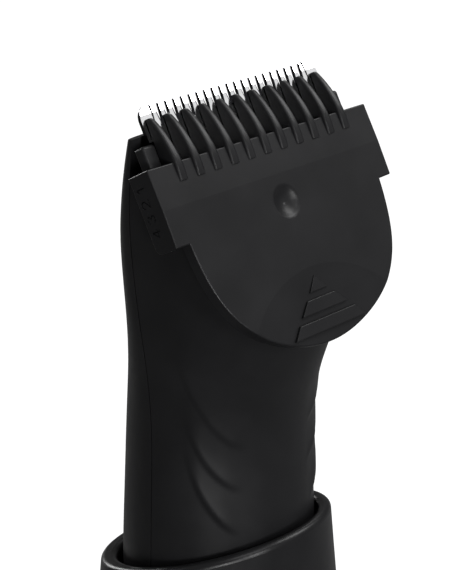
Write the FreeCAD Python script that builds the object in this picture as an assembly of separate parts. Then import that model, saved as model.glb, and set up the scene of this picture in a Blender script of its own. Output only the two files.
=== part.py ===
import FreeCAD, Part
import math
import os
from FreeCAD import Placement, Rotation, Vector

# Cordless body groomer standing in its charging dock, in millimetres.
# Origin: centre of the dock's underside, +Z up. The skin side of the groomer faces -Y and the
# thumb side, with the power button, faces +Y.

# Driving dimensions: head
HEAD_ORIGIN = Vector(0, -9.4, 141)
HEAD_TILT = 30                # the comb plate leans back from vertical by this angle
COMB_WIDTH = 48.0
COMB_THICK = 1.9
EAR_HEIGHT = 12.15            # the ears run down from the plate's top edge by this much
EAR_DEPTH = 4.7
BEND_AT = -6.4                # the plate's top band and its apron meet along this line
BAND_LEAN = 1.0               # the top band leans back by this angle
APRON_LEAN = 1.4              # and the apron turns in by this one
TIP_EDGE = -33.3              # lowest point of the comb plate
RIB_COUNT = 11
RIB_PITCH = 3.6
RIB_HALF = (0.86, 0.54)       # half the ribs' width at the root and at the tip
RIB_ROUND = 0.42              # radius of the ribs' outer edges
EDGE_ROUND = 0.22             # radius of the plate's outline
DISH_DEPTH = 0.82             # thumb dish at the foot of the plate
ARROW_RISE = 0.06             # the arrow stands over the plate around the dish by this much
DIMPLE = (4.6, -10.8, 0.75)   # radius, place down the plate and depth of the round dimple
CLICK_PITCH = 2.25            # distance between the four comb settings
BLADE_FACE = -2.75            # front face of the fixed blade below the comb's front plane
BLADE_THICK = 0.65
BLADE_TIP = 9.65
TOOTH_COUNT = 21
TOOTH_PITCH = 1.63
BLADE_HALF = 19.3
CUTTER_THICK = 0.6
SLIP = 0.05                   # running gap between sliding faces
SHELL_FRONT = -3.2            # slanted front face of the body, under the comb

# Driving dimensions: handle
WALL = 1.8
SEAM_GAP = 0.1                # half the parting line's width
SEAM_Y = -0.8
SEAM_BEND_Z = 108
SEAM_TOP = (-3.2, 143)
HANDLE_BOTTOM = 8.3
CAP_TOP = 14.2
BUTTON_Z = 88
BUTTON_SIZE = (8.4, 15.0)
MOTOR_AXIS_Y = -3.0
SHAFT_R = 1.0
PIN_R = 0.9
CRANK = 0.8                   # eccentric pin's offset from the shaft
BATTERY_R = 7.0
BATTERY_Z = (22.5, 71.5)
CONTACT_X = 4.0

# Driving dimensions: dock
DOCK_Y = 0.3
CUP = (17.8, 16.5)            # half-axes of the cup's oval bore
CUP_FLOOR = 8.2
LINER_WALL = 1.5
RIM_Z = 68.8                  # height of the slanted rim on the axis
RIM_SLOPE = 0.35
LINER_TOP = 57.8
PAD_THICK = 1.0

# Height, half width, front, back and squareness of the handle's cross-sections
SECTIONS = [
    (8.3, 16.6, -14.9, 15.6, 2.05),
    (20, 17.0, -15.2, 16.0, 2.05),
    (40, 17.1, -15.3, 16.2, 2.05),
    (60, 17.0, -15.25, 16.1, 2.05),
    (72, 16.75, -15.1, 15.9, 2.05),
    (82, 16.4, -14.6, 15.3, 2.05),
    (91, 16.15, -14.55, 14.5, 2.08),
    (100, 16.5, -16.3, 12.9, 2.1),
    (108, 17.5, -18.9, 10.6, 2.2),
    (116, 18.75, -20.5, 8.7, 2.33),
    (124, 19.95, -21.1, 7.2, 2.45),
    (131, 20.75, -21.0, 5.1, 2.6),
    (137, 21.05, -20.5, 2.9, 2.8),
    (142, 21.15, -20.0, 0.9, 2.9),
    (147, 21.1, -19.5, -0.9, 2.9),
]

HEAD = Placement(HEAD_ORIGIN, Rotation(Vector(1, 0, 0), 90 - HEAD_TILT))


# ---------------------------------------------------------------- helpers

def save(name, shape):
    """Write one node's STEP file."""
    solids = shape.Solids
    if not solids or not shape.isValid():
        raise ValueError(name + " is not a valid solid")
    result = solids[0] if len(solids) == 1 else Part.makeCompound(solids)
    result.exportStep("parts/" + name + ".step")


def box(x, y, z):
    """Box from three (low, high) pairs."""
    return Part.makeBox(x[1] - x[0], y[1] - y[0], z[1] - z[0], Vector(x[0], y[0], z[0]))


def pair(shape):
    """The shape and its mirror image across x = 0."""
    return [shape, shape.mirror(Vector(), Vector(1, 0, 0))]


def fuse(shapes):
    """One shape out of several."""
    return shapes[0].fuse(shapes[1:]).removeSplitter()


def cylinder(radius, start, direction, length):
    return Part.makeCylinder(radius, length, Vector(*start), Vector(*direction))


def prism(points, direction):
    """Closed polygon pushed along a vector."""
    corners = [Vector(*p) for p in points]
    return Part.Face(Part.makePolygon(corners + corners[:1])).extrude(Vector(*direction))


def on_head(shape):
    """Move a shape from the head's frame, with y up the plate and z outwards, to the body."""
    moved = shape.copy()
    moved.Placement = HEAD.multiply(moved.Placement)
    return moved


def stadium(width, height, z_mid, y_low, y_high):
    """Upright slot shape lying in the XZ plane, pushed along +Y."""
    r = width / 2
    half = height / 2 - r
    body = box((-r, r), (y_low, y_high), (z_mid - half, z_mid + half))
    ends = [cylinder(r, (0, y_low, z_mid + s * half), (0, 1, 0), y_high - y_low) for s in (-1, 1)]
    return fuse([body] + ends)


def oval(half_x, half_y, z):
    """Oval wire of the dock at one height."""
    if half_x < half_y:
        raise ValueError("the oval is wider than deep")
    curve = Part.Ellipse(Vector(0, DOCK_Y, z), half_x, half_y)
    return Part.Wire(curve.toShape())


def oval_post(half_x, half_y, low, high):
    return Part.Face(oval(half_x, half_y, low)).extrude(Vector(0, 0, high - low))


# ---------------------------------------------------------------- handle's outer form

def seam_y(z):
    """Depth of the parting line: straight below, an arc towards the skin side above."""
    if z <= SEAM_BEND_Z:
        return SEAM_Y
    rise = SEAM_TOP[1] - SEAM_BEND_Z
    drop = SEAM_Y - SEAM_TOP[0]
    radius = (rise ** 2 + drop ** 2) / (2 * drop)
    return SEAM_Y - radius + math.sqrt(radius ** 2 - (z - SEAM_BEND_Z) ** 2)


def section(z, half_width, front, back, squareness, inset):
    """One rounded cross-section as a closed smooth curve."""
    middle = seam_y(z)
    points = []
    for i in range(32):
        angle = 2 * math.pi * i / 32
        c = math.cos(angle)
        s = math.sin(angle)
        depth = back - middle - inset if s > 0 else middle - front - inset
        x = (half_width - inset) * math.copysign(abs(c) ** (2 / squareness), c)
        y = middle + depth * math.copysign(abs(s) ** (2 / squareness), s)
        points.append(Vector(x, y, z))
    curve = Part.BSplineCurve()
    curve.interpolate(points, PeriodicFlag=True)
    return Part.Wire(curve.toShape())


def full_form(inset):
    """The handle's solid form before the slanted face, moved in by inset."""
    wires = [section(*row, inset) for row in SECTIONS]
    return Part.makeLoft(wires, True, False)


def body_form(inset):
    """The handle's solid form with its slanted face, moved in by inset."""
    face = SHELL_FRONT - max(inset, 0)
    return full_form(inset).cut(on_head(box((-40, 40), (-60, 40), (face, 40))))


def slab(low, high):
    return box((-40, 40), (-40, 40), (low, high))


def behind_seam(shift):
    """Everything on the thumb side of the parting line moved by shift."""
    arc = Part.Arc(Vector(-40, SEAM_Y + shift, SEAM_BEND_Z),
                   Vector(-40, seam_y(126) + shift, 126),
                   Vector(-40, SEAM_TOP[0] + shift, SEAM_TOP[1])).toShape()
    top = arc.Vertexes[-1].Point
    corners = [top, Vector(-40, SEAM_TOP[0] - 1.0 + shift, 160), Vector(-40, 40, 160),
               Vector(-40, 40, -10), Vector(-40, SEAM_Y + shift, -10), arc.Vertexes[0].Point]
    outline = Part.Wire([arc] + Part.makePolygon(corners).Edges)
    return Part.Face(outline).extrude(Vector(80, 0, 0))


def above_rear_edge():
    """Space over the rear shell's top edge, which falls away towards the thumb side."""
    return prism([(-40, -30, 150.8), (-40, 40, 131.9), (-40, 40, 180), (-40, -30, 180)], (80, 0, 0))


# ---------------------------------------------------------------- shells

def button_hole(grow):
    return stadium(BUTTON_SIZE[0] + 2 * grow, BUTTON_SIZE[1] + 2 * grow, BUTTON_Z, 5, 30)


def make_shells(forms):
    outer, middle, inner = forms[0], forms[0.9], forms[WALL]
    skin = outer.cut(inner).cut(slab(-5, CAP_TOP))
    rear = full_form(0).cut(full_form(WALL)).cut(slab(-5, CAP_TOP))
    rear = rear.common(behind_seam(SEAM_GAP)).cut(above_rear_edge())
    lip_zone = behind_seam(-1.4).cut(behind_seam(SEAM_GAP)).common(slab(CAP_TOP, 128))
    lip = middle.cut(inner).common(lip_zone)
    groove_zone = behind_seam(-1.6).common(slab(0, 128.2))
    rear = rear.fuse(lip)
    front = skin.cut(behind_seam(-SEAM_GAP))
    front = front.cut(forms[0.8].common(groove_zone))
    front = front.cut(on_head(box((-40, 40), (-0.4, 40), (-40, 40))))
    window = on_head(box((-18.8, 18.8), (-9.9, 5), (-7, 5)))
    front = front.cut(window)
    rear = rear.cut(button_hole(1.4)).cut(led_slot(0))
    posts = []
    for x, z in screw_places():
        posts.append(cylinder(2.0, (x, 7.0, z), (0, 1, 0), 8).common(inner))
    rear = fuse([rear] + posts)
    for x, z in screw_places():
        rear = rear.cut(cylinder(0.8, (x, 6.9, z), (0, 1, 0), 4.1))
    return front, rear


def screw_places():
    return [(x, z) for x in (-11, 11) for z in (34, 66)]


def led_slot(grow):
    return stadium(1.8 + 2 * grow, 7 + 2 * grow, 73, 8, 30)


def make_rails():
    """Two rails under the comb's ears, each with four shallow notches on its edge."""
    rail = box((18.9, 21.75), (-9, -0.5), (-4.0, SHELL_FRONT))
    for i in range(4):
        y = -1.2 - CLICK_PITCH * i
        rail = rail.cut(cylinder(0.35, (21.9, y, -5), (0, 0, 1), 3))
    return [on_head(shape) for shape in pair(rail)]


def bottom_parts(forms):
    """End cap with a spigot into the shells, its seal and the two charging contacts."""
    outer, inner = forms[0], forms[1.95]
    cap = outer.common(slab(HANDLE_BOTTOM, CAP_TOP - 0.15))
    rim = [e for e in cap.Edges if e.BoundBox.ZMax < HANDLE_BOTTOM + 0.01]
    cap = cap.makeFillet(2.4, rim)
    spigot = inner.common(slab(CAP_TOP - 0.2, 18.5))
    cap = cap.fuse(spigot)
    cap = cap.cut(forms[3.6].common(slab(10.6, 19)))
    groove = inner.cut(forms[2.9]).common(slab(15.4, 16.8))
    seal = forms[1.85].cut(forms[2.9]).common(slab(15.4, 16.8))
    contact = cylinder(1.8, (CONTACT_X, 0, HANDLE_BOTTOM), (0, 0, 1), 3.4)
    contacts = pair(contact)
    cap = cap.cut(groove).cut(contacts[0]).cut(contacts[1])
    return cap, seal, Part.makeCompound(contacts)


# ---------------------------------------------------------------- inside the handle

def make_chassis(form):
    plate = box((-13, 13), (5.6, 6.9), (20, 117.5))
    heads = [slab(20, 21.6), slab(73, 74.6), slab(88, 89.6), slab(115.5, 117.5)]
    frame = fuse([plate] + [h.common(box((-40, 40), (-40, 6.9), (0, 200))) for h in heads])
    frame = frame.common(form)
    frame = frame.cut(cylinder(3.1, (0, MOTOR_AXIS_Y, 110), (0, 0, 1), 10))
    for z in (40, 57):
        frame = frame.cut(cylinder(4, (0, 0, z), (0, 1, 0), 12))
    for x in (-3.5, 3.5):
        frame = frame.cut(cylinder(1.2, (x, -1.5, 72), (0, 0, 1), 18))
    for x, z in screw_places():
        frame = frame.cut(cylinder(0.85, (x, 0, z), (0, 1, 0), 12))
    for x in (-7, 7):
        frame = frame.cut(cylinder(0.8, (x, MOTOR_AXIS_Y, 114), (0, 0, 1), 5))
    return frame


def make_battery():
    low, high = BATTERY_Z
    cell = cylinder(BATTERY_R, (0, -1.6, low), (0, 0, 1), high - low)
    ends = [e for e in cell.Edges if e.Curve.TypeId == "Part::GeomCircle"]
    cell = cell.makeFillet(0.6, ends)
    nub = cylinder(2.6, (0, -1.6, high), (0, 0, 1), 0.6)
    top_tab = box((-2.5, 2.5), (-3, 5.4), (high + 0.6, high + 0.9))
    foot_tab = box((-2.5, 2.5), (-3, 5.4), (low - 0.4, low))
    return fuse([cell, nub]), Part.makeCompound([top_tab, foot_tab])


def make_board():
    board = box((-9, 9), (6.9, 8.1), (45, 98))
    for x, z in screw_places():
        board = board.cut(cylinder(2.3, (x, 5, z), (0, 1, 0), 8))
    chips = [
        box((-3, 3), (8.1, 9.0), (52, 58)),
        box((-6, -2), (8.1, 9.2), (63, 66)),
        box((3, 6.5), (8.1, 8.9), (62, 67)),
    ]
    switch = fuse([box((-3, 3), (8.1, 8.9), (BUTTON_Z - 3, BUTTON_Z + 3)),
                   cylinder(1.5, (0, 8.9, BUTTON_Z), (0, 1, 0), 0.3)])
    return fuse([board] + chips), switch


def make_motor():
    """Flat-sided can, plastic end cap and terminals; the shaft turns in the can's boss."""
    can = cylinder(10.2, (0, MOTOR_AXIS_Y, 92), (0, 0, 1), 23.5)
    flat = box((-11, 11), (MOTOR_AXIS_Y - 7.7, MOTOR_AXIS_Y + 7.7), (80, 130))
    can = can.common(flat)
    can = can.fuse(cylinder(3.0, (0, MOTOR_AXIS_Y, 115.5), (0, 0, 1), 1.7))
    can = can.cut(cylinder(SHAFT_R + SLIP, (0, MOTOR_AXIS_Y, 105), (0, 0, 1), 15))
    end_cap = cylinder(10.0, (0, MOTOR_AXIS_Y, 90.4), (0, 0, 1), 1.6)
    end_cap = end_cap.common(box((-11, 11), (MOTOR_AXIS_Y - 7.5, MOTOR_AXIS_Y + 7.5), (80, 130)))
    terminal = box((5.2, 6.8), (MOTOR_AXIS_Y - 0.25, MOTOR_AXIS_Y + 0.25), (89.7, 90.4))
    screw = cylinder(0.8, (7, MOTOR_AXIS_Y, 115.5), (0, 0, 1), 2.0)
    screw = screw.fuse(cylinder(1.5, (7, MOTOR_AXIS_Y, 117.5), (0, 0, 1), 0.8))
    terminals = Part.makeCompound(pair(terminal))
    return can, end_cap, terminals, Part.makeCompound(pair(screw))


def make_shaft_seal():
    ring = cylinder(4.4, (0, MOTOR_AXIS_Y, 117.5), (0, 0, 1), 1.3)
    return ring.cut(cylinder(SHAFT_R + SLIP, (0, MOTOR_AXIS_Y, 117), (0, 0, 1), 3))


def make_rotor():
    """Motor shaft with the eccentric that carries the drive pin."""
    shaft = cylinder(SHAFT_R, (0, MOTOR_AXIS_Y, 106), (0, 0, 1), 17)
    hub = cylinder(3.0, (0, MOTOR_AXIS_Y, 119.2), (0, 0, 1), 4.8)
    weight = cylinder(4.6, (0, MOTOR_AXIS_Y, 119.2), (0, 0, 1), 2.2)
    weight = weight.common(box((-6, 6), (MOTOR_AXIS_Y, MOTOR_AXIS_Y + 6), (118, 125)))
    pin = cylinder(PIN_R, (0, MOTOR_AXIS_Y - CRANK, 124), (0, 0, 1), 7.6)
    cam = fuse([hub, weight, pin])
    return shaft, cam.cut(shaft)


def make_button(forms):
    """Power button: a domed oval cap with a flange and a plunger over the switch."""
    cap = button_hole(0).common(box((-20, 20), (11.2, 30), (70, 110))).common(forms[-0.5])
    flange = stadium(BUTTON_SIZE[0] + 1.4, BUTTON_SIZE[1] + 1.4, BUTTON_Z, 9.9, 10.7)
    stem = stadium(BUTTON_SIZE[0] - 1.0, BUTTON_SIZE[1] - 1.0, BUTTON_Z, 10.6, 11.3)
    return fuse([cap, flange, stem])


def make_bezel(forms):
    """Ring set into the rear shell around the power button."""
    ring = button_hole(1.4).cut(button_hole(0.2))
    ring = ring.common(forms[-0.2]).cut(forms[WALL])
    return ring


def make_led(forms):
    lens = led_slot(0).common(forms[-0.05])
    return lens.cut(box((-20, 20), (0, 8.3), (60, 90)))


def make_shell_screws():
    screws = []
    for x, z in screw_places():
        thread = cylinder(0.8, (x, 5.6, z), (0, 1, 0), 5.4)
        head = cylinder(1.6, (x, 4.6, z), (0, 1, 0), 1.0)
        cross = box((x - 0.2, x + 0.2), (4.5, 5.0), (z - 1, z + 1))
        cross = cross.fuse(box((x - 1, x + 1), (4.5, 5.0), (z - 0.2, z + 0.2)))
        screws.append(thread.fuse(head).cut(cross))
    return Part.makeCompound(screws)


# ---------------------------------------------------------------- blade head

def blade_outline(tips):
    """Fixed blade: pointed teeth between two rounded ears, with a narrower foot."""
    floor = 6.1
    shape = box((-18.3, 18.3), (-8, 4.0), (0, BLADE_THICK))
    shape = shape.fuse(box((-BLADE_HALF, BLADE_HALF), (4.0, floor), (0, BLADE_THICK)))
    ear = box((16.95, BLADE_HALF), (floor - 1, tips - 2.3), (0, BLADE_THICK))
    ear = ear.fuse(box((16.95, BLADE_HALF - 2.3), (floor, tips), (0, BLADE_THICK)))
    ear = ear.fuse(cylinder(2.3, (BLADE_HALF - 2.3, tips - 2.3, 0), (0, 0, 1), BLADE_THICK))
    ear = ear.cut(box((0, 16.95), (0, 20), (-1, 3)))
    teeth = []
    for i in range(TOOTH_COUNT):
        teeth.append(pointed_tooth((i - (TOOTH_COUNT - 1) / 2) * TOOTH_PITCH, floor, tips, BLADE_THICK))
    return fuse([shape] + pair(ear) + teeth)


def pointed_tooth(x, root, tip, thick):
    """Tooth that narrows from its root and ends in a small rounded point."""
    points = [(x - 0.62, root - 0.3, 0), (x - 0.42, root + 1.0, 0), (x - 0.16, tip - 0.15, 0),
              (x, tip, 0), (x + 0.16, tip - 0.15, 0), (x + 0.42, root + 1.0, 0),
              (x + 0.62, root - 0.3, 0)]
    return prism(points, (0, 0, thick))


def make_fixed_blade():
    blade = blade_outline(BLADE_TIP)
    for x in (-9, 9):
        blade = blade.cut(Part.makeCone(1.0, 1.9, BLADE_THICK, Vector(x, -4.6, 0)))
    # The ground bevel thins the teeth a little at their tips on the skin side.
    bevel = prism([(-30, 8.2, BLADE_THICK), (-30, 12, BLADE_THICK), (-30, 12, 0.2)], (60, 0, 0))
    blade = blade.cut(bevel)
    blade.translate(Vector(0, 0, BLADE_FACE - BLADE_THICK))
    return on_head(blade)


def make_blade_screws():
    screws = []
    for x in (-9, 9):
        head = Part.makeCone(0.95, 1.85, BLADE_THICK, Vector(x, -4.6, 0))
        head = head.cut(box((x - 1.2, x + 1.2), (-4.8, -4.4), (0.35, 1)))
        shank = cylinder(0.9, (x, -4.6, -1.7), (0, 0, 1), 1.7)
        screws.append(head.fuse(shank))
    screws = Part.makeCompound(screws)
    screws.translate(Vector(0, 0, BLADE_FACE - BLADE_THICK))
    return on_head(screws)


def make_moving_blade():
    top = BLADE_FACE - BLADE_THICK - SLIP
    base = box((-16.4, 16.4), (0.6, 6.2), (0, CUTTER_THICK))
    teeth = []
    for i in range(TOOTH_COUNT - 1):
        x = (i - (TOOTH_COUNT - 2) / 2) * TOOTH_PITCH
        teeth.append(pointed_tooth(x, 6.2, 8.8, CUTTER_THICK))
    blade = fuse([base] + teeth)
    blade.translate(Vector(0, 0, top - CUTTER_THICK))
    return on_head(blade)


def make_cutter_carrier():
    """Plastic bar on the moving blade, with a fork that hangs down over the drive pin."""
    top = BLADE_FACE - BLADE_THICK - SLIP - CUTTER_THICK
    bar = on_head(box((-13, 13), (0.6, 5.2), (-6.0, top)))
    reach = 2 * CRANK + PIN_R + 0.1
    fork = box((-4.2, 4.2), (-5.2, -1.2), (126, 139.2))
    slot = box((-reach, reach), (-8, 1), (120, 134))
    return bar.fuse(fork.cut(slot)).removeSplitter()


def make_blade_base():
    """Plastic base that the fixed blade is screwed to, with a shoulder at each side."""
    back = BLADE_FACE - BLADE_THICK
    plate = box((-18.6, 18.6), (-9.6, -0.3), (back - 1.8, back))
    shoulder = box((18.95, 21.5), (-0.3, 3.7), (-4.3, -2.15))
    shoulder = shoulder.makeFillet(0.5, [e for e in shoulder.Edges if outer_edge(e)])
    post = box((17.5, 19.0), (-0.3, 3.4), (-6.5, back))
    leg = box((14.6, 18.2), (-9.6, 0.4), (-6.8, back - 1.8))
    snap = box((10, 13.5), (-14.5, -9.6), (-6.6, back - 1.85))
    snap = snap.fuse(box((10, 13.5), (-9.7, -5.5), (-6.6, back - 1.8)))
    hook = box((6, 8), (-7.1, -4.9), (-5.75, back - 1.8))
    parts = [plate]
    for piece in (shoulder, post, leg, snap, hook):
        parts += pair(piece)
    base = fuse(parts)
    for x in (-9, 9):
        base = base.cut(cylinder(0.9, (x, -4.6, back - 1.8), (0, 0, 1), 3))
    base = base.cut(box((-6, 6), (-2.6, 0), (back - 2, back - 1.1)))
    return on_head(base)


def outer_edge(edge):
    """Edges of a shoulder block on its outer side, its front or its top."""
    box_of = edge.BoundBox
    return box_of.XMin > 21.4 or box_of.ZMin > -2.2 or (box_of.YMin > 3.6 and box_of.ZLength > 1)


def make_blade_spring():
    """Bent wire that presses the moving blade against the fixed one."""
    r = 0.45
    low = (-5.75 - r)
    corners = [Vector(-9, 3.4, -6.6), Vector(-9, -6, low), Vector(9, -6, low), Vector(9, 3.4, -6.6)]
    wire = [Part.LineSegment(corners[i], corners[i + 1]).toShape() for i in range(3)]
    solids = []
    for edge in wire:
        start = edge.Vertexes[0].Point
        run = edge.Vertexes[-1].Point.sub(start)
        solids.append(Part.makeCylinder(r, run.Length, start, run))
    solids += [Part.makeSphere(r, corner) for corner in corners]
    return on_head(fuse(solids))


# ---------------------------------------------------------------- guard comb

def comb_outline():
    """Plan of the comb plate: straight ears above a deep rounded apron."""
    half = COMB_WIDTH / 2
    right = [Vector(21.25, -EAR_HEIGHT, 0), Vector(20.7, -17, 0), Vector(18.85, -23.0, 0),
             Vector(14.85, -28.1, 0), Vector(8.1, -31.85, 0)]
    left = [Vector(-p.x, p.y, 0) for p in reversed(right)]
    curve = Part.BSplineCurve()
    curve.interpolate(right + [Vector(0, TIP_EDGE, 0)] + left)
    corners = [left[-1], Vector(-half, -EAR_HEIGHT, 0), Vector(-half, 0, 0), Vector(half, 0, 0),
               Vector(half, -EAR_HEIGHT, 0), right[0]]
    return Part.Wire([curve.toShape()] + Part.makePolygon(corners).Edges)


def plate_height(y):
    """Height of the plate's front surface over the comb's front plane."""
    if y > BEND_AT:
        return -y * math.tan(math.radians(BAND_LEAN))
    ridge = -BEND_AT * math.tan(math.radians(BAND_LEAN))
    return ridge - (BEND_AT - y) * math.tan(math.radians(APRON_LEAN))


def comb_plate():
    end = TIP_EDGE - 2
    front = [(-30, y, plate_height(y)) for y in (0, BEND_AT, end)]
    back = [(-30, y, plate_height(y) - COMB_THICK) for y in (end, BEND_AT, 0)]
    side = front + back
    plan = Part.Face(comb_outline()).extrude(Vector(0, 0, 10))
    plan.translate(Vector(0, 0, -6))
    return prism(side, (60, 0, 0)).common(plan)


def outline_edge(edge):
    """Edges that a hand meets: the front face's outline and the ears' outer edges."""
    mid = edge.valueAt((edge.FirstParameter + edge.LastParameter) / 2)
    if edge.BoundBox.ZLength > 1.5 or mid.z < plate_height(mid.y) - DISH_DEPTH:
        return abs(mid.x) > COMB_WIDTH / 2 - 0.01
    inner_circle = edge.Curve.TypeId == "Part::GeomCircle"
    bend_line = abs(mid.y - BEND_AT) < 0.01 and edge.BoundBox.YLength < 0.01
    return not inner_circle and not bend_line


def comb_rib(x):
    """One guard tooth: it rises off the plate and curves back over the blade's teeth."""
    crown = [(-2.95, 0.3), (-1.4, 0.46), (0.24, 0.48), (1.8, 0.24), (3.5, -0.2), (5.2, -0.82),
             (6.75, -1.58)]
    curve = Part.BSplineCurve()
    curve.interpolate([Vector(x, y, z) for y, z in crown])
    tip = Part.Arc(Vector(x, 6.75, -1.58), Vector(x, 7.24, -1.92), Vector(x, 7.45, -2.2)).toShape()
    back = [Vector(x, 7.45, -2.2), Vector(x, 7.45, -2.6), Vector(x, 0.3, -2.6),
            Vector(x, -0.3, -1.85), Vector(x, -2.95, -1.85), Vector(x, -2.95, 0.3)]
    outline = Part.Wire([curve.toShape(), tip] + Part.makePolygon(back).Edges)
    rib = Part.Face(outline).extrude(Vector(2, 0, 0))
    rib.translate(Vector(-1, 0, 0))
    root, end = RIB_HALF
    plan = [(x - root, -3.2, -5), (x + root, -3.2, -5), (x + end, 8, -5), (x - end, 8, -5)]
    rib = rib.common(prism(plan, (0, 0, 8)))
    crown_edges = [e for e in rib.Edges if crown_edge(e)]
    return rib.makeFillet(RIB_ROUND, crown_edges)


def crown_edge(edge):
    """Edges down both sides of a rib's outer face and round its tip."""
    span = edge.BoundBox
    return span.ZMax > -1.65 and span.YLength > 0.3 and span.XLength < 0.6


def arrow_marks():
    """Raised arrow at the foot of the plate: a triangle over two widening bars."""
    shapes = [
        [(0, -22.9), (1.95, -25.25), (-1.95, -25.25)],
        [(3.05, -26.3), (5.15, -28.4), (-5.15, -28.4), (-3.05, -26.3)],
        [(6.2, -29.45), (8.05, -31.4), (-8.05, -31.4), (-6.2, -29.45)],
    ]
    solids = []
    for corners in shapes:
        block = prism([(x, y, -2.2) for x, y in corners], (0, 0, 3))
        side = [(-30, -20, plate_height(-20) + ARROW_RISE), (-30, -34, plate_height(-34) + ARROW_RISE),
                (-30, -34, -2.4), (-30, -20, -2.4)]
        block = block.common(prism(side, (60, 0, 0)))
        rim = [e for e in block.Edges if e.BoundBox.ZMin > plate_height(-34)]
        solids.append(block.makeFillet(EDGE_ROUND / 2, rim))
    return solids


def digit_strokes(digit):
    """Strokes of a plain numeral in a box 1.2 wide and 1.7 high, centred."""
    w, h = 0.55, 0.85
    shapes = {
        1: [[(-0.3, 0.45), (0.1, h), (0.1, -h)]],
        2: [[(-w, 0.45), (-0.3, h), (0.3, h), (w, 0.45), (0.4, 0.05), (-w, -h), (w, -h)]],
        3: [[(-w, 0.6), (-0.2, h), (0.35, 0.75), (0.45, 0.3), (0, 0.05), (0.5, -0.3),
             (0.35, -0.75), (-0.2, -h), (-w, -0.55)]],
        4: [[(0.25, -h), (0.25, h), (-w, -0.3), (w, -0.3)]],
    }
    return shapes[digit]


def engraved_digit(digit, y_mid):
    """Cutter for a numeral on the left ear; its top points to the back of the comb."""
    half = COMB_WIDTH / 2
    z_mid = -3.0
    pen = 0.11
    cuts = []
    for line in digit_strokes(digit):
        spots = [Vector(-half - 1, y_mid + a, z_mid - b) for a, b in line]
        for start, end in zip(spots, spots[1:]):
            run = end.sub(start)
            side = Vector(1, 0, 0).cross(run).normalize().multiply(pen)
            ring = [start.add(side), end.add(side), end.sub(side), start.sub(side)]
            cuts.append(Part.Face(Part.makePolygon(ring + ring[:1])).extrude(Vector(1.22, 0, 0)))
        cuts += [Part.makeCylinder(pen, 1.22, spot, Vector(1, 0, 0)) for spot in spots]
    return cuts[0].fuse(cuts[1:])


def comb_ear():
    """Right ear of the comb: a wall that runs back from the plate's side edge."""
    half = COMB_WIDTH / 2
    ear = box((half - COMB_THICK, half), (-EAR_HEIGHT, 0), (-EAR_DEPTH, -0.5))
    corner = [e for e in ear.Edges if e.BoundBox.YMax < -12 and e.BoundBox.ZMax < -4.6]
    return ear.makeFillet(1.2, corner)


def ear_inside():
    """Lip that hooks behind the rail and the bump that clicks into its notches."""
    inner = COMB_WIDTH / 2 - COMB_THICK
    lip = box((inner - 0.45, inner + 0.1), (-EAR_HEIGHT + 1.5, -0.3), (-EAR_DEPTH + 0.1, -4.1))
    bump = cylinder(0.25, (inner + 0.02, -3.45, -4.0), (0, 0, 1), 1.0)
    return pair(lip) + pair(bump)


def tilted_sphere(radius, y, depth):
    """Sphere that presses a round hollow of this depth into the bent part of the plate."""
    slope = math.radians(APRON_LEAN)
    outward = Vector(0, -math.sin(slope), math.cos(slope)).multiply(radius - depth)
    return Part.makeSphere(radius, Vector(0, y, plate_height(y)).add(outward))


def make_comb():
    plate = comb_plate().cut(tilted_sphere(250, -41.7, DISH_DEPTH))
    plate = fuse([plate] + pair(comb_ear()))
    plate = plate.makeFillet(EDGE_ROUND, [e for e in plate.Edges if outline_edge(e)])
    plate = plate.fuse(arrow_marks())
    plate = plate.cut(tilted_sphere(DIMPLE[0], DIMPLE[1], DIMPLE[2]))
    rim = [e for e in plate.Edges if dimple_rim(e)]
    plate = plate.makeFillet(1.2, rim)
    rib_places = [(i - (RIB_COUNT - 1) / 2) * RIB_PITCH for i in range(RIB_COUNT)]
    comb = plate.fuse(ear_inside() + [comb_rib(x) for x in rib_places]).removeSplitter()
    for digit in (1, 2, 3, 4):
        comb = comb.cut(engraved_digit(digit, -CLICK_PITCH * digit))
    return on_head(comb)


def dimple_rim(edge):
    span = edge.BoundBox
    return abs(span.Center.y - DIMPLE[1]) < 0.2 and abs(span.Center.x) < 0.1 and span.XLength < 8


# ---------------------------------------------------------------- dock

DOCK_SECTIONS = [
    (0.8, 33.0), (7, 31.2), (17, 27.8), (32, 24.4), (50, 22.1), (69, 20.3), (82, 19.2),
]
OVAL_STEP = CUP[0] - CUP[1]


def dock_form(inset):
    wires = [oval(a - inset, a - OVAL_STEP - inset, z) for z, a in DOCK_SECTIONS]
    return Part.makeLoft(wires, True, False)


def above_rim():
    """Space over the slanted rim, which rises towards the skin side."""
    front = RIM_Z + 40 * RIM_SLOPE
    back = RIM_Z - 40 * RIM_SLOPE
    return prism([(-50, -40, front), (-50, 40, back), (-50, 40, 120), (-50, -40, 120)], (100, 0, 0))


def rim_edge(edge):
    """Edges on the slanted rim."""
    point = edge.CenterOfMass
    spread = edge.BoundBox.ZMax - edge.BoundBox.ZMin
    return edge.BoundBox.ZMin > 58 and spread > 8 and abs(point.x) < 5


def make_dock_housing():
    form = dock_form(0).cut(above_rim())
    form = form.cut(oval_post(CUP[0], CUP[1], LINER_TOP - 1, 90))
    edges = [e for e in form.Edges if rim_edge(e)]
    form = form.makeFillet(1.0, edges)
    form = form.cut(oval_post(CUP[0] + LINER_WALL + 0.1, CUP[1] + LINER_WALL + 0.1, 0, LINER_TOP))
    cavity = dock_form(2.2).common(box((-50, 50), (-50, 50), (0, 47)))
    form = form.cut(cavity)
    form = form.cut(box((-60, 60), (-60, 60), (-1, 0.8)))
    socket = box((-4.6, 4.6), (20, 40), (3.4, 6.8))
    return form.cut(socket)


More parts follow.
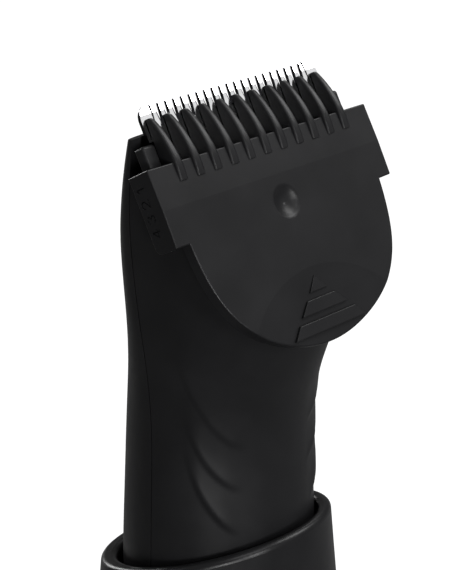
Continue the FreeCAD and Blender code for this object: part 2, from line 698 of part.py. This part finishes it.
def make_dock_cup():
    a, b = CUP
    tube = oval_post(a + LINER_WALL, b + LINER_WALL, CUP_FLOOR - 2, LINER_TOP)
    tube = tube.cut(oval_post(a, b, CUP_FLOOR, LINER_TOP + 1))
    for x in (-CONTACT_X, CONTACT_X):
        tube = tube.cut(cylinder(0.9, (x, 0, 0), (0, 0, 1), 12))
    return tube


def make_dock_base():
    a = DOCK_SECTIONS[0][1] - 3.2
    plate = oval_post(a, a - OVAL_STEP, PAD_THICK, PAD_THICK + 1.6)
    for x, y in dock_corners():
        plate = plate.cut(cylinder(1.0, (x, y, 0), (0, 0, 1), 4))
        plate = plate.cut(cylinder(1.9, (x, y, 0), (0, 0, 1), PAD_THICK + 0.9))
    return plate


def dock_corners():
    return [(x, y) for x in (-17, 17) for y in (DOCK_Y - 17, DOCK_Y + 17)]


def make_dock_pad():
    """Non-slip rubber pad that covers the base and its screws."""
    a = DOCK_SECTIONS[0][1] - 3.2
    pad = oval_post(a, a - OVAL_STEP, 0, PAD_THICK)
    edge = [e for e in pad.Edges if e.BoundBox.ZMax < 0.01]
    return pad.makeChamfer(0.3, edge)


def make_dock_screws():
    screws = []
    for x, y in dock_corners():
        shank = cylinder(1.0, (x, y, PAD_THICK + 0.8), (0, 0, 1), 5.5)
        head = cylinder(1.8, (x, y, PAD_THICK), (0, 0, 1), 0.9)
        cross = box((x - 0.2, x + 0.2), (y - 1, y + 1), (PAD_THICK - 0.1, PAD_THICK + 0.4))
        cross = cross.fuse(box((x - 1, x + 1), (y - 0.2, y + 0.2), (PAD_THICK - 0.1, PAD_THICK + 0.4)))
        screws.append(shank.fuse(head).cut(cross))
    return Part.makeCompound(screws)


def make_dock_bosses():
    """Posts inside the housing that take the base screws."""
    posts = []
    for x, y in dock_corners():
        post = cylinder(2.4, (x, y, PAD_THICK + 1.6), (0, 0, 1), 8)
        posts.append(post.cut(cylinder(1.0, (x, y, 2), (0, 0, 1), 6)))
    return posts


def make_dock_inside():
    floor = PAD_THICK + 1.6
    weight = oval_post(27.4, 26.1, floor, floor + 2.8)
    weight = weight.cut(oval_post(15, 13.7, 2, 7))
    weight = weight.cut(box((-6, 6), (10, 40), (2, 7)))
    for x, y in dock_corners():
        weight = weight.cut(cylinder(2.8, (x, y, 2), (0, 0, 1), 6))
    board = box((-9, 9), (-6, 28), (floor, floor + 0.8))
    board = board.cut(box((-20, 20), (10, 40), (0, 9)).cut(box((-5, 5), (9, 41), (-1, 10))))
    pin = cylinder(0.85, (CONTACT_X, 0, floor + 0.8), (0, 0, 1), HANDLE_BOTTOM - floor - 0.8 - SLIP)
    return weight, board, Part.makeCompound(pair(pin))


def make_usb_socket():
    shell = box((-4.5, 4.5), (23.8, 31.0), (3.4, 6.7))
    shell = shell.makeFillet(1.4, [e for e in shell.Edges if e.BoundBox.YLength > 5])
    mouth = box((-3.8, 3.8), (25.0, 32), (4.0, 6.1))
    mouth = mouth.makeFillet(0.95, [e for e in mouth.Edges if e.BoundBox.YLength > 5])
    tongue = box((-3.0, 3.0), (24.5, 30.4), (4.85, 5.25))
    return shell.cut(mouth).fuse(tongue)


# ---------------------------------------------------------------- build

def save_handle(forms):
    """The two shells and the cap, seal and contacts that close them below."""
    front, rear = make_shells(forms)
    save("front_shell", fuse([front] + make_rails()))
    save("rear_shell", rear)
    cap, seal, contacts = bottom_parts(forms)
    save("bottom_cap", cap)
    save("bottom_seal", seal)
    save("charging_contacts", contacts)
    save("power_button", make_button(forms))
    save("button_bezel", make_bezel(forms))
    save("led_lens", make_led(forms))
    save("shell_screws", make_shell_screws())


def save_drive(forms):
    """What the shells hold: chassis, battery, board, motor and its turning parts."""
    save("chassis", make_chassis(forms[2.1]))
    battery, tabs = make_battery()
    save("battery", battery)
    save("battery_tabs", tabs)
    board, switch = make_board()
    save("circuit_board", board)
    save("tactile_switch", switch)
    can, end_cap, terminals, motor_screws = make_motor()
    save("motor_can", can)
    save("motor_end_cap", end_cap)
    save("motor_terminals", terminals)
    save("motor_screws", motor_screws)
    save("shaft_seal", make_shaft_seal())
    shaft, cam = make_rotor()
    save("motor_shaft", shaft)
    save("eccentric_cam", cam)


def save_head():
    """Blades with their base, carrier and spring, and the guard comb."""
    save("blade_base", make_blade_base())
    save("fixed_blade", make_fixed_blade())
    save("blade_screws", make_blade_screws())
    save("moving_blade", make_moving_blade())
    save("cutter_carrier", make_cutter_carrier())
    save("blade_spring", make_blade_spring())
    save("guard_comb", make_comb())


def save_dock():
    """The charging dock and what it holds."""
    save("dock_housing", fuse([make_dock_housing()] + make_dock_bosses()))
    save("dock_cup", make_dock_cup())
    save("dock_base_plate", make_dock_base())
    save("dock_foot_pad", make_dock_pad())
    save("dock_screws", make_dock_screws())
    weight, dock_board, pins = make_dock_inside()
    save("dock_weight", weight)
    save("dock_circuit_board", dock_board)
    save("dock_contact_pins", pins)
    save("dock_usb_socket", make_usb_socket())


def main():
    os.makedirs("parts", exist_ok=True)
    insets = (-0.5, -0.2, -0.05, 0, 0.8, 0.9, WALL, 1.85, 1.95, 2.1, 2.9, 3.6)
    forms = {inset: body_form(inset) for inset in insets}
    save_handle(forms)
    save_drive(forms)
    save_head()
    save_dock()


main()
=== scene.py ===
import math

import bmesh
import bpy
import numpy as np
from mathutils import Matrix, Vector


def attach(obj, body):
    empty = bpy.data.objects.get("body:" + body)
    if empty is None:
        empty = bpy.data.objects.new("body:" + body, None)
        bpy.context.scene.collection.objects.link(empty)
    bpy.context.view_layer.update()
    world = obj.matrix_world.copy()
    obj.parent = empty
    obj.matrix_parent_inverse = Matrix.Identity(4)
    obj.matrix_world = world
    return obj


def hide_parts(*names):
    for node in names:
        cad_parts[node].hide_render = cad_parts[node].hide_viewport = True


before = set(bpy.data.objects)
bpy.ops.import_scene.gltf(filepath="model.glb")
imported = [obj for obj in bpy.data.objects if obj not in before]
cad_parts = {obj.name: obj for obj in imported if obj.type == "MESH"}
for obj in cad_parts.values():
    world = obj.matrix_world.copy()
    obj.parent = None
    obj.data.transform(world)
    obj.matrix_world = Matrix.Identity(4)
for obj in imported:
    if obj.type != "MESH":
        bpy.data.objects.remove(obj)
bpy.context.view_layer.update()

# Looks of the cordless body groomer in its charging dock, in metres.
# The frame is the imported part: origin under the dock, skin side -Y, thumb side +Y.

MM = 0.001

# ---------------------------------------------------------------- driving values

HEAD_POINT = Vector((0, -9.4, 141)) * MM       # top middle of the comb plate's front face
VIEW_AZIMUTH = math.radians(-45.48)
VIEW_ELEVATION = math.radians(22.08)
VIEW_DISTANCE = 275.5 * MM
VIEW_SHIFT = (-4.455 * MM, -22.97 * MM)        # picture centre from the head point, right and up
SENSOR = 36.0
LENS = 113.7

# Studio lamps: name, azimuth, elevation, distance, size and power; azimuth 0 is in front, on
# the skin side, and 90 towards +X
LAMPS = [
    ("card", 46, 24, 1.2, (0.7, 0.6), 1.0),
    ("key", 68, 48, 1.2, (0.6, 0.6), 15.0),
    ("overhead_left", -15, 62, 1.2, (0.6, 0.6), 8.0),
    ("front_strip", -8, 14, 1.2, (0.12, 0.7), 16.0),
    ("low_front", -36, 1, 1.2, (0.5, 0.2), 14.0),
    ("back_left", -138, 30, 1.3, (0.5, 0.9), 5.0),
    ("back", 172, 12, 1.3, (0.3, 0.7), 9.0),
    ("back_right", 128, 38, 1.3, (0.6, 0.6), 4.0),
]
LAMP_AIM = HEAD_POINT * 0.8
# How bright the stage is to the camera and as a light source on the object
WORLD_SEEN = 0.95
WORLD_LIGHT = 0.08
FLOOR_SEEN = 0.93
FLOOR_LIGHT = 0.0
FLOOR_HALF = 6.0

# The handle's form, in millimetres, as the CAD lofts it
SEAM_GAP = 0.1
SEAM_BEND_Z = 108
SEAM_STRAIGHT = -0.8
SEAM_TOP = (-3.2, 143)
WALL = 1.8
SHELL_BOTTOM = 14.2
DECK = -3.2                    # the slanted face under the comb, along the comb plate's normal
HEAD_TURN = math.radians(60)
# Height, half width, front and squareness of the cross-sections
SECTIONS = np.array([
    (8.3, 16.6, -14.9, 2.05),
    (20, 17.0, -15.2, 2.05),
    (40, 17.1, -15.3, 2.05),
    (60, 17.0, -15.25, 2.05),
    (72, 16.75, -15.1, 2.05),
    (82, 16.4, -14.6, 2.05),
    (91, 16.15, -14.55, 2.08),
    (100, 16.5, -16.3, 2.1),
    (108, 17.5, -18.9, 2.2),
    (116, 18.75, -20.5, 2.33),
    (124, 19.95, -21.1, 2.45),
    (131, 20.75, -21.0, 2.6),
    (137, 21.05, -20.5, 2.8),
    (142, 21.15, -20.0, 2.9),
    (147, 21.1, -19.5, 2.9),
])
# Grip scales: base height, rise towards the side, height of the edge, and the turn from the
# front, in degrees, where the scale starts and ends
SCALES = [(91.0, 35.0, 0.36, 23, 75), (83.2, 36.0, 0.55, 25, 68), (75.0, 44.0, 0.55, 27, 67)]
SCALE_FADE = 2.8               # a scale sinks back into the handle over this height above its edge
SCALE_DROP = 1.0               # and over this one below it
SCALE_ENDS = (16, 14)          # degrees of turn over which a scale starts and stops
DEGREE_WIDTH = 0.3             # width of one degree of turn on the handle's skin
GRIP_BAND = (72, 112)          # heights between which the grid is closest
SHELL_TOP = 156                # the lofted form runs up to here before the deck cuts it
SKIN_COLUMNS = 144
INNER_COLUMNS = 48

# Openings and rails of the slanted deck in the comb's frame: (low, high) across, up and outwards
WINDOW = ((-18.8, 18.8), (-9.9, 5), (-9, 2))
RAIL_SIDE = (18.9, 21.75)
RAIL_UP = (-9, -0.5)
RAIL_OUT = (-4.0, DECK + 0.004)


# ---------------------------------------------------------------- shader helpers

class Shader:
    """One node-based material and short ways to add and join its nodes."""

    def __init__(self, name, colour, roughness, metallic=0.0, specular=0.5):
        self.material = bpy.data.materials.new(name)
        self.material.use_nodes = True
        self.material.diffuse_color = (*colour, 1)
        self.tree = self.material.node_tree
        self.surface = self.tree.nodes["Principled BSDF"]
        self.set("Base Color", (*colour, 1))
        self.set("Roughness", roughness)
        self.set("Metallic", metallic)
        self.set("Specular IOR Level", specular)
        self.place = self.node("ShaderNodeTexCoord").outputs["Object"]

    def set(self, socket, value):
        self.surface.inputs[socket].default_value = value

    def node(self, kind, **settings):
        made = self.tree.nodes.new(kind)
        for key, value in settings.items():
            setattr(made, key, value)
        return made

    def join(self, source, target):
        self.tree.links.new(source, target)

    def stretched(self, scale):
        """Object coordinates scaled by a triple, so that noise can run along one direction."""
        mapping = self.node("ShaderNodeMapping")
        mapping.inputs["Scale"].default_value = scale
        self.join(self.place, mapping.inputs["Vector"])
        return mapping.outputs["Vector"]

    def noise(self, size, detail=3.0, stretch=None):
        """Noise whose features are about size millimetres across, from 0 to 1."""
        texture = self.node("ShaderNodeTexNoise")
        texture.inputs["Scale"].default_value = 1 / (size * MM)
        texture.inputs["Detail"].default_value = detail
        source = self.stretched(stretch) if stretch else self.place
        self.join(source, texture.inputs["Vector"])
        return texture.outputs["Fac"]

    def remap(self, source, low, high, start=0.3, end=0.7):
        ramp = self.node("ShaderNodeMapRange")
        ramp.inputs["From Min"].default_value = start
        ramp.inputs["From Max"].default_value = end
        ramp.inputs["To Min"].default_value = low
        ramp.inputs["To Max"].default_value = high
        self.join(source, ramp.inputs["Value"])
        return ramp.outputs["Result"]

    def math(self, operation, a, b):
        made = self.node("ShaderNodeMath", operation=operation)
        for socket, value in zip(made.inputs, (a, b)):
            if isinstance(value, (int, float)):
                socket.default_value = value
            else:
                self.join(value, socket)
        return made.outputs[0]

    def facing(self, direction):
        """How squarely a face looks along a direction or against it, from 0 to 1."""
        dot = self.node("ShaderNodeVectorMath", operation="DOT_PRODUCT")
        dot.inputs[1].default_value = direction
        self.join(self.node("ShaderNodeTexCoord").outputs["Normal"], dot.inputs[0])
        return self.math("ABSOLUTE", dot.outputs["Value"], 0)

    def mix_colours(self, amount, first, second):
        mix = self.node("ShaderNodeMix", data_type="RGBA")
        mix.inputs[6].default_value = (*first, 1)
        mix.inputs[7].default_value = (*second, 1)
        self.join(amount, mix.inputs[0])
        self.join(mix.outputs[2], self.surface.inputs["Base Color"])

    def vary_roughness(self, source):
        self.join(source, self.surface.inputs["Roughness"])

    def bumps(self, *layers):
        """Bump layers, each a height source and its depth in millimetres."""
        normal = None
        for height, depth in layers:
            bump = self.node("ShaderNodeBump")
            bump.inputs["Distance"].default_value = depth * MM
            self.join(height, bump.inputs["Height"])
            if normal is not None:
                self.join(normal, bump.inputs["Normal"])
            normal = bump.outputs["Normal"]
        self.join(normal, self.surface.inputs["Normal"])


# ---------------------------------------------------------------- materials

def moulded(name, colour, roughness, bend, grain, depth):
    """Moulded plastic: fine spark-eroded grain, slow sheen changes and faint handling marks."""
    s = Shader(name, colour, roughness)
    s.set("IOR", bend)
    fine = s.noise(grain, 2.0)
    slow = s.noise(9.0, 2.0)
    marks = s.noise(2.4, 5.0)
    s.mix_colours(s.remap(slow, 0, 1), colour, tuple(c * 1.25 for c in colour))
    sheen = s.remap(slow, roughness - 0.03, roughness + 0.03)
    s.vary_roughness(s.math("ADD", sheen, s.remap(marks, -0.02, 0.02)))
    s.bumps((slow, 0.01), (fine, depth))
    return s.material


def steel(name, colour, roughness, stretch, depth, ground=None):
    """Steel with fine scratches along one direction and small changes of gloss.

    With a ground direction, the faces that look along it keep the steel's colour and the walls of
    the etched teeth between them are painted dark: painted shade standing for the shade on those
    walls."""
    s = Shader(name, colour, roughness, metallic=1.0)
    scratches = s.noise(0.5, 4.0, stretch)
    slow = s.noise(4.0, 2.0)
    worn = tuple(c * 0.93 for c in colour)
    if ground:
        # painted shade: faces turned away from the ground direction take the dark wall colour
        facing = s.remap(s.facing(ground), 0, 1, 0.8, 0.92)
        s.mix_colours(s.math("MULTIPLY", facing, s.remap(slow, 0.9, 1)), PAINTED_WALL_SHADE, colour)
    else:
        s.mix_colours(s.remap(slow, 0, 1), colour, worn)
    gloss = s.remap(scratches, roughness * 0.75, roughness * 1.35)
    s.vary_roughness(gloss)
    s.bumps((scratches, depth))
    return s.material


# dark colour painted on the blade teeth's walls: painted shade for the shade between the teeth
PAINTED_WALL_SHADE = (0.03, 0.03, 0.032)
GROUND = (0, -0.8660254, 0.5)          # the blades' faces, which are parallel to the comb plate

MATERIALS = {
    "shell_black": moulded("shell_black", (0.0045, 0.0045, 0.0048), 0.38, 1.2, 0.10, 0.004),
    "comb_black": moulded("comb_black", (0.0045, 0.0045, 0.0048), 0.36, 1.195, 0.12, 0.004),
    "base_black": moulded("base_black", (0.0055, 0.0055, 0.0058), 0.42, 1.2, 0.14, 0.004),
    "dock_black": moulded("dock_black", (0.0045, 0.0045, 0.0048), 0.32, 1.2, 0.12, 0.003),
    "rubber_black": moulded("rubber_black", (0.012, 0.012, 0.012), 0.8, 1.3, 0.3, 0.012),
    "button_grey": moulded("button_grey", (0.03, 0.03, 0.032), 0.4, 1.4, 0.12, 0.004),
    "bezel_metal": steel("bezel_metal", (0.45, 0.46, 0.48), 0.28, (1, 1, 12), 0.003),
    "lens_white": moulded("lens_white", (0.75, 0.78, 0.8), 0.22, 1.5, 0.4, 0.001),
    # the blade's tooth walls carry painted shade
    "blade_steel": steel("blade_steel", (0.87, 0.87, 0.88), 0.08, (10, 1, 1), 0.001, GROUND),
    "spring_steel": steel("spring_steel", (0.6, 0.6, 0.62), 0.3, (6, 1, 1), 0.003),
    "screw_steel": steel("screw_steel", (0.55, 0.55, 0.57), 0.32, (1, 1, 5), 0.003),
    "motor_steel": steel("motor_steel", (0.52, 0.53, 0.54), 0.35, (1, 1, 8), 0.004),
    "nylon_white": moulded("nylon_white", (0.72, 0.71, 0.67), 0.45, 1.5, 0.2, 0.004),
    "carrier_grey": moulded("carrier_grey", (0.12, 0.12, 0.125), 0.5, 1.45, 0.2, 0.004),
    "chassis_grey": moulded("chassis_grey", (0.2, 0.2, 0.21), 0.5, 1.45, 0.2, 0.004),
    "battery_wrap": moulded("battery_wrap", (0.05, 0.16, 0.3), 0.3, 1.5, 0.5, 0.002),
    "tab_nickel": steel("tab_nickel", (0.6, 0.58, 0.53), 0.3, (4, 1, 1), 0.003),
    "board_green": moulded("board_green", (0.012, 0.09, 0.035), 0.35, 1.5, 0.3, 0.004),
    "switch_black": moulded("switch_black", (0.01, 0.01, 0.01), 0.4, 1.4, 0.2, 0.004),
    "contact_gold": steel("contact_gold", (0.85, 0.6, 0.25), 0.2, (1, 1, 6), 0.002),
    "socket_steel": steel("socket_steel", (0.58, 0.58, 0.6), 0.3, (1, 8, 1), 0.003),
    "weight_iron": steel("weight_iron", (0.22, 0.22, 0.22), 0.55, (2, 1, 1), 0.01),
}


def finish_nodes():
    """Every CAD node takes the full material of its own slot."""
    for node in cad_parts.values():
        for slot in node.material_slots:
            slot.material = MATERIALS[slot.material.name.split(".")[0]]


# ---------------------------------------------------------------- meshes

def add_piece(name, mesh, material, body, *replaced):
    piece = bpy.data.objects.new(name, mesh)
    bpy.context.scene.collection.objects.link(piece)
    if not mesh.materials:
        mesh.materials.append(MATERIALS[material])
    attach(piece, body)
    if replaced:
        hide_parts(*replaced)
    return piece


def on_head(x, y, z):
    """Row-frame point from one in the comb's frame, in millimetres, y up the plate, z outwards."""
    return HEAD_POINT + Matrix.Rotation(HEAD_TURN, 3, "X") @ (Vector((x, y, z)) * MM)


def spline(xs, ys):
    """Natural cubic spline through the points, as a function of one number."""
    step = np.diff(xs)
    last = len(xs) - 1
    matrix = np.eye(last + 1)
    right = np.zeros(last + 1)
    for i in range(1, last):
        matrix[i, i - 1:i + 2] = step[i - 1], 2 * (step[i - 1] + step[i]), step[i]
        right[i] = 6 * ((ys[i + 1] - ys[i]) / step[i] - (ys[i] - ys[i - 1]) / step[i - 1])
    bend = np.linalg.solve(matrix, right)

    def value(x):
        i = min(max(int(np.searchsorted(xs, x)) - 1, 0), last - 1)
        a = xs[i + 1] - x
        b = x - xs[i]
        h = step[i]
        curve = (bend[i] * a ** 3 + bend[i + 1] * b ** 3) / (6 * h)
        line = (ys[i] / h - bend[i] * h / 6) * a + (ys[i + 1] / h - bend[i + 1] * h / 6) * b
        return curve + line

    return value


SECTION_AT = [spline(SECTIONS[:, 0], SECTIONS[:, k]) for k in range(1, 4)]


def seam_y(z):
    if z <= SEAM_BEND_Z:
        return SEAM_STRAIGHT
    rise = SEAM_TOP[1] - SEAM_BEND_Z
    drop = SEAM_STRAIGHT - SEAM_TOP[0]
    radius = (rise ** 2 + drop ** 2) / (2 * drop)
    return SEAM_STRAIGHT - radius + math.sqrt(radius ** 2 - (z - SEAM_BEND_Z) ** 2)


def smooth(t):
    t = min(max(t, 0.0), 1.0)
    return t * t * (3 - 2 * t)


def scale_height(turn, z):
    """How far the grip scales stand out, at a turn from the front in degrees and a height."""
    turn = abs(turn)
    height = 0.0
    for base, rise, edge, start, end in SCALES:
        crease = base + rise * (turn / 90) ** 3
        slope = 3 * rise * (turn / 90) ** 2 / 90 / DEGREE_WIDTH
        away = (z - crease) / math.hypot(1, slope)
        reach = smooth((turn - start) / SCALE_ENDS[0]) * smooth((end - turn) / SCALE_ENDS[1])
        if away >= 0:
            height = max(height, edge * reach * math.exp(-away / SCALE_FADE))
        else:
            height = max(height, edge * reach * (1 - smooth(-away / SCALE_DROP)))
    return height


def shell_rows(dense):
    """Heights of the grid's rows, closer together over the grip scales."""
    if not dense:
        return list(np.linspace(SHELL_BOTTOM - 2, SHELL_TOP, 44))
    low = np.arange(SHELL_BOTTOM, GRIP_BAND[0], 1.4)
    grip = np.arange(*GRIP_BAND, 0.5)
    high = np.arange(GRIP_BAND[1], SHELL_TOP, 1.0)
    return list(low) + list(grip) + list(high)


def front_ring(z, inset, columns, back_shift):
    """One row of the front half, from the left seam round the front to the right seam.

    It stays at least back_shift in front of the seam."""
    half, front, squareness = [f(z) for f in SECTION_AT]
    half -= inset
    middle = seam_y(z)
    depth = middle - front - inset
    power = 2 / squareness
    ring = []
    for i in range(columns + 1):
        turn = -90 + 180 * i / columns
        across = math.sin(math.radians(turn))
        ahead = max(math.cos(math.radians(turn)), 0.0)
        x = half * math.copysign(abs(across) ** power, across)
        y = middle - max(depth * ahead ** power, back_shift)
        out = scale_height(turn, z) if inset == 0 else 0
        ring.append((x + out * across, y - out * ahead, z))
    return ring


def half_solid(inset, columns, rows, back_shift):
    """Closed solid of the handle's front half, moved in by inset, its flat back at back_shift."""
    bm = bmesh.new()
    grid = [[bm.verts.new(Vector(p) * MM) for p in front_ring(z, inset, columns, back_shift)]
            for z in rows]
    for low, high in zip(grid, grid[1:]):
        for i in range(columns):
            bm.faces.new((low[i], low[i + 1], high[i + 1], high[i]))
        bm.faces.new((low[columns], low[0], high[0], high[columns]))
    bm.faces.new(reversed(grid[0]))
    bm.faces.new(grid[-1])
    bmesh.ops.recalc_face_normals(bm, faces=bm.faces)
    return bm


def slice_off(bm, point, normal):
    """Cut away what lies beyond a plane and close the cut."""
    everything = bm.verts[:] + bm.edges[:] + bm.faces[:]
    cut = bmesh.ops.bisect_plane(bm, geom=everything, plane_co=point, plane_no=normal,
                                 clear_outer=True)
    rim = [e for e in cut["geom_cut"] if isinstance(e, bmesh.types.BMEdge)]
    bmesh.ops.contextual_create(bm, geom=rim)


def to_object(bm, name):
    mesh = bpy.data.meshes.new(name)
    bm.to_mesh(mesh)
    bm.free()
    made = bpy.data.objects.new(name, mesh)
    bpy.context.scene.collection.objects.link(made)
    return made


def head_box(name, x, y, z):
    """Box in the comb's frame from three (low, high) pairs in millimetres."""
    bm = bmesh.new()
    corners = [on_head(a, b, c) for a in x for b in y for c in z]
    bmesh.ops.convex_hull(bm, input=[bm.verts.new(c) for c in corners])
    return to_object(bm, name)


def combined(base, operands, name):
    """Mesh of base after cutting or adding the operands, which are then removed."""
    for operation, other in operands:
        step = base.modifiers.new(operation, "BOOLEAN")
        step.operation = operation
        step.solver = "EXACT"
        step.object = other
    view = bpy.context.evaluated_depsgraph_get()
    mesh = bpy.data.meshes.new_from_object(base.evaluated_get(view))
    mesh.name = name
    for other in [base] + [o for _, o in operands]:
        bpy.data.objects.remove(other)
    return mesh


def shade(mesh, angle):
    mesh.shade_smooth()
    mesh.set_sharp_from_angle(angle=math.radians(angle))


def make_front_shell():
    """The front shell with its grip scales, at the CAD shell's own form and walls."""
    outward = (on_head(0, 0, 1) - on_head(0, 0, 0)).normalized()
    upward = (on_head(0, 1, 0) - on_head(0, 0, 0)).normalized()
    outer = half_solid(0, SKIN_COLUMNS, shell_rows(True), SEAM_GAP)
    slice_off(outer, on_head(0, 0, DECK), outward)
    slice_off(outer, on_head(0, -0.4, 0), upward)
    inner = half_solid(WALL, INNER_COLUMNS, shell_rows(False), -4.0)
    slice_off(inner, on_head(0, 0, DECK - WALL), outward)
    window = head_box("window", *WINDOW)
    rails = [head_box("rail", sorted(side * x for x in RAIL_SIDE), RAIL_UP, RAIL_OUT)
             for side in (-1, 1)]
    cuts = [("DIFFERENCE", to_object(inner, "inner")), ("DIFFERENCE", window)]
    cuts += [("UNION", rail) for rail in rails]
    mesh = combined(to_object(outer, "outer"), cuts, "front_shell_grip")
    shade(mesh, 30)
    return add_piece("front_shell_grip", mesh, "shell_black", "handle", "front_shell")


# ---------------------------------------------------------------- studio

def make_camera():
    right = Vector((math.cos(VIEW_AZIMUTH), math.sin(VIEW_AZIMUTH), 0))
    back = Vector((math.sin(VIEW_AZIMUTH) * math.cos(VIEW_ELEVATION),
                   -math.cos(VIEW_AZIMUTH) * math.cos(VIEW_ELEVATION),
                   math.sin(VIEW_ELEVATION)))
    up = back.cross(right)
    data = bpy.data.cameras.new("camera")
    data.lens = LENS
    data.sensor_width = SENSOR
    data.clip_start = 0.01
    camera = bpy.data.objects.new("camera", data)
    place = HEAD_POINT + right * VIEW_SHIFT[0] + up * VIEW_SHIFT[1] + back * VIEW_DISTANCE
    turn = Matrix((right, up, back)).transposed().to_4x4()
    camera.matrix_world = Matrix.Translation(place) @ turn
    bpy.context.scene.collection.objects.link(camera)
    bpy.context.scene.camera = camera


def soft_box(name, azimuth, elevation, distance, size, power):
    """Area lamp aimed at the upper handle."""
    a = math.radians(azimuth)
    e = math.radians(elevation)
    toward = Vector((math.sin(a) * math.cos(e), -math.cos(a) * math.cos(e), math.sin(e)))
    data = bpy.data.lights.new(name, "AREA")
    data.shape = "RECTANGLE"
    data.size = size[0]
    data.size_y = size[1]
    data.energy = power
    lamp = bpy.data.objects.new(name, data)
    lamp.location = LAMP_AIM + toward * distance
    lamp.rotation_euler = toward.to_track_quat("Z", "Y").to_euler()
    lamp.visible_camera = False
    bpy.context.scene.collection.objects.link(lamp)


def make_floor():
    mesh = bpy.data.meshes.new("floor")
    half = FLOOR_HALF
    corners = [(-half, -half, 0), (half, -half, 0), (half, half, 0), (-half, half, 0)]
    mesh.from_pydata(corners, [], [(0, 1, 2, 3)])
    floor = bpy.data.objects.new("floor", mesh)
    s = Shader("floor_white", (0.1, 0.1, 0.1), 0.7, specular=0.05)
    s.set("Emission Color", (1, 1, 1, 1))
    seen = s.node("ShaderNodeLightPath").outputs["Is Camera Ray"]
    s.join(s.remap(seen, FLOOR_LIGHT, FLOOR_SEEN, 0, 1), s.surface.inputs["Emission Strength"])
    s.vary_roughness(s.remap(s.noise(60), 0.65, 0.75))
    mesh.materials.append(s.material)
    bpy.context.scene.collection.objects.link(floor)


def make_light():
    world = bpy.data.worlds.new("studio")
    world.use_nodes = True
    background = world.node_tree.nodes["Background"]
    background.inputs["Color"].default_value = (1, 1, 1, 1)
    seen = world.node_tree.nodes.new("ShaderNodeLightPath").outputs["Is Camera Ray"]
    strength = world.node_tree.nodes.new("ShaderNodeMapRange")
    strength.inputs["To Min"].default_value = WORLD_LIGHT
    strength.inputs["To Max"].default_value = WORLD_SEEN
    world.node_tree.links.new(seen, strength.inputs["Value"])
    world.node_tree.links.new(strength.outputs["Result"], background.inputs["Strength"])
    bpy.context.scene.world = world
    for lamp in LAMPS:
        soft_box(*lamp)
    bpy.context.scene.view_settings.view_transform = "Standard"


# ---------------------------------------------------------------- build

finish_nodes()
make_front_shell()
make_camera()
make_floor()
make_light()
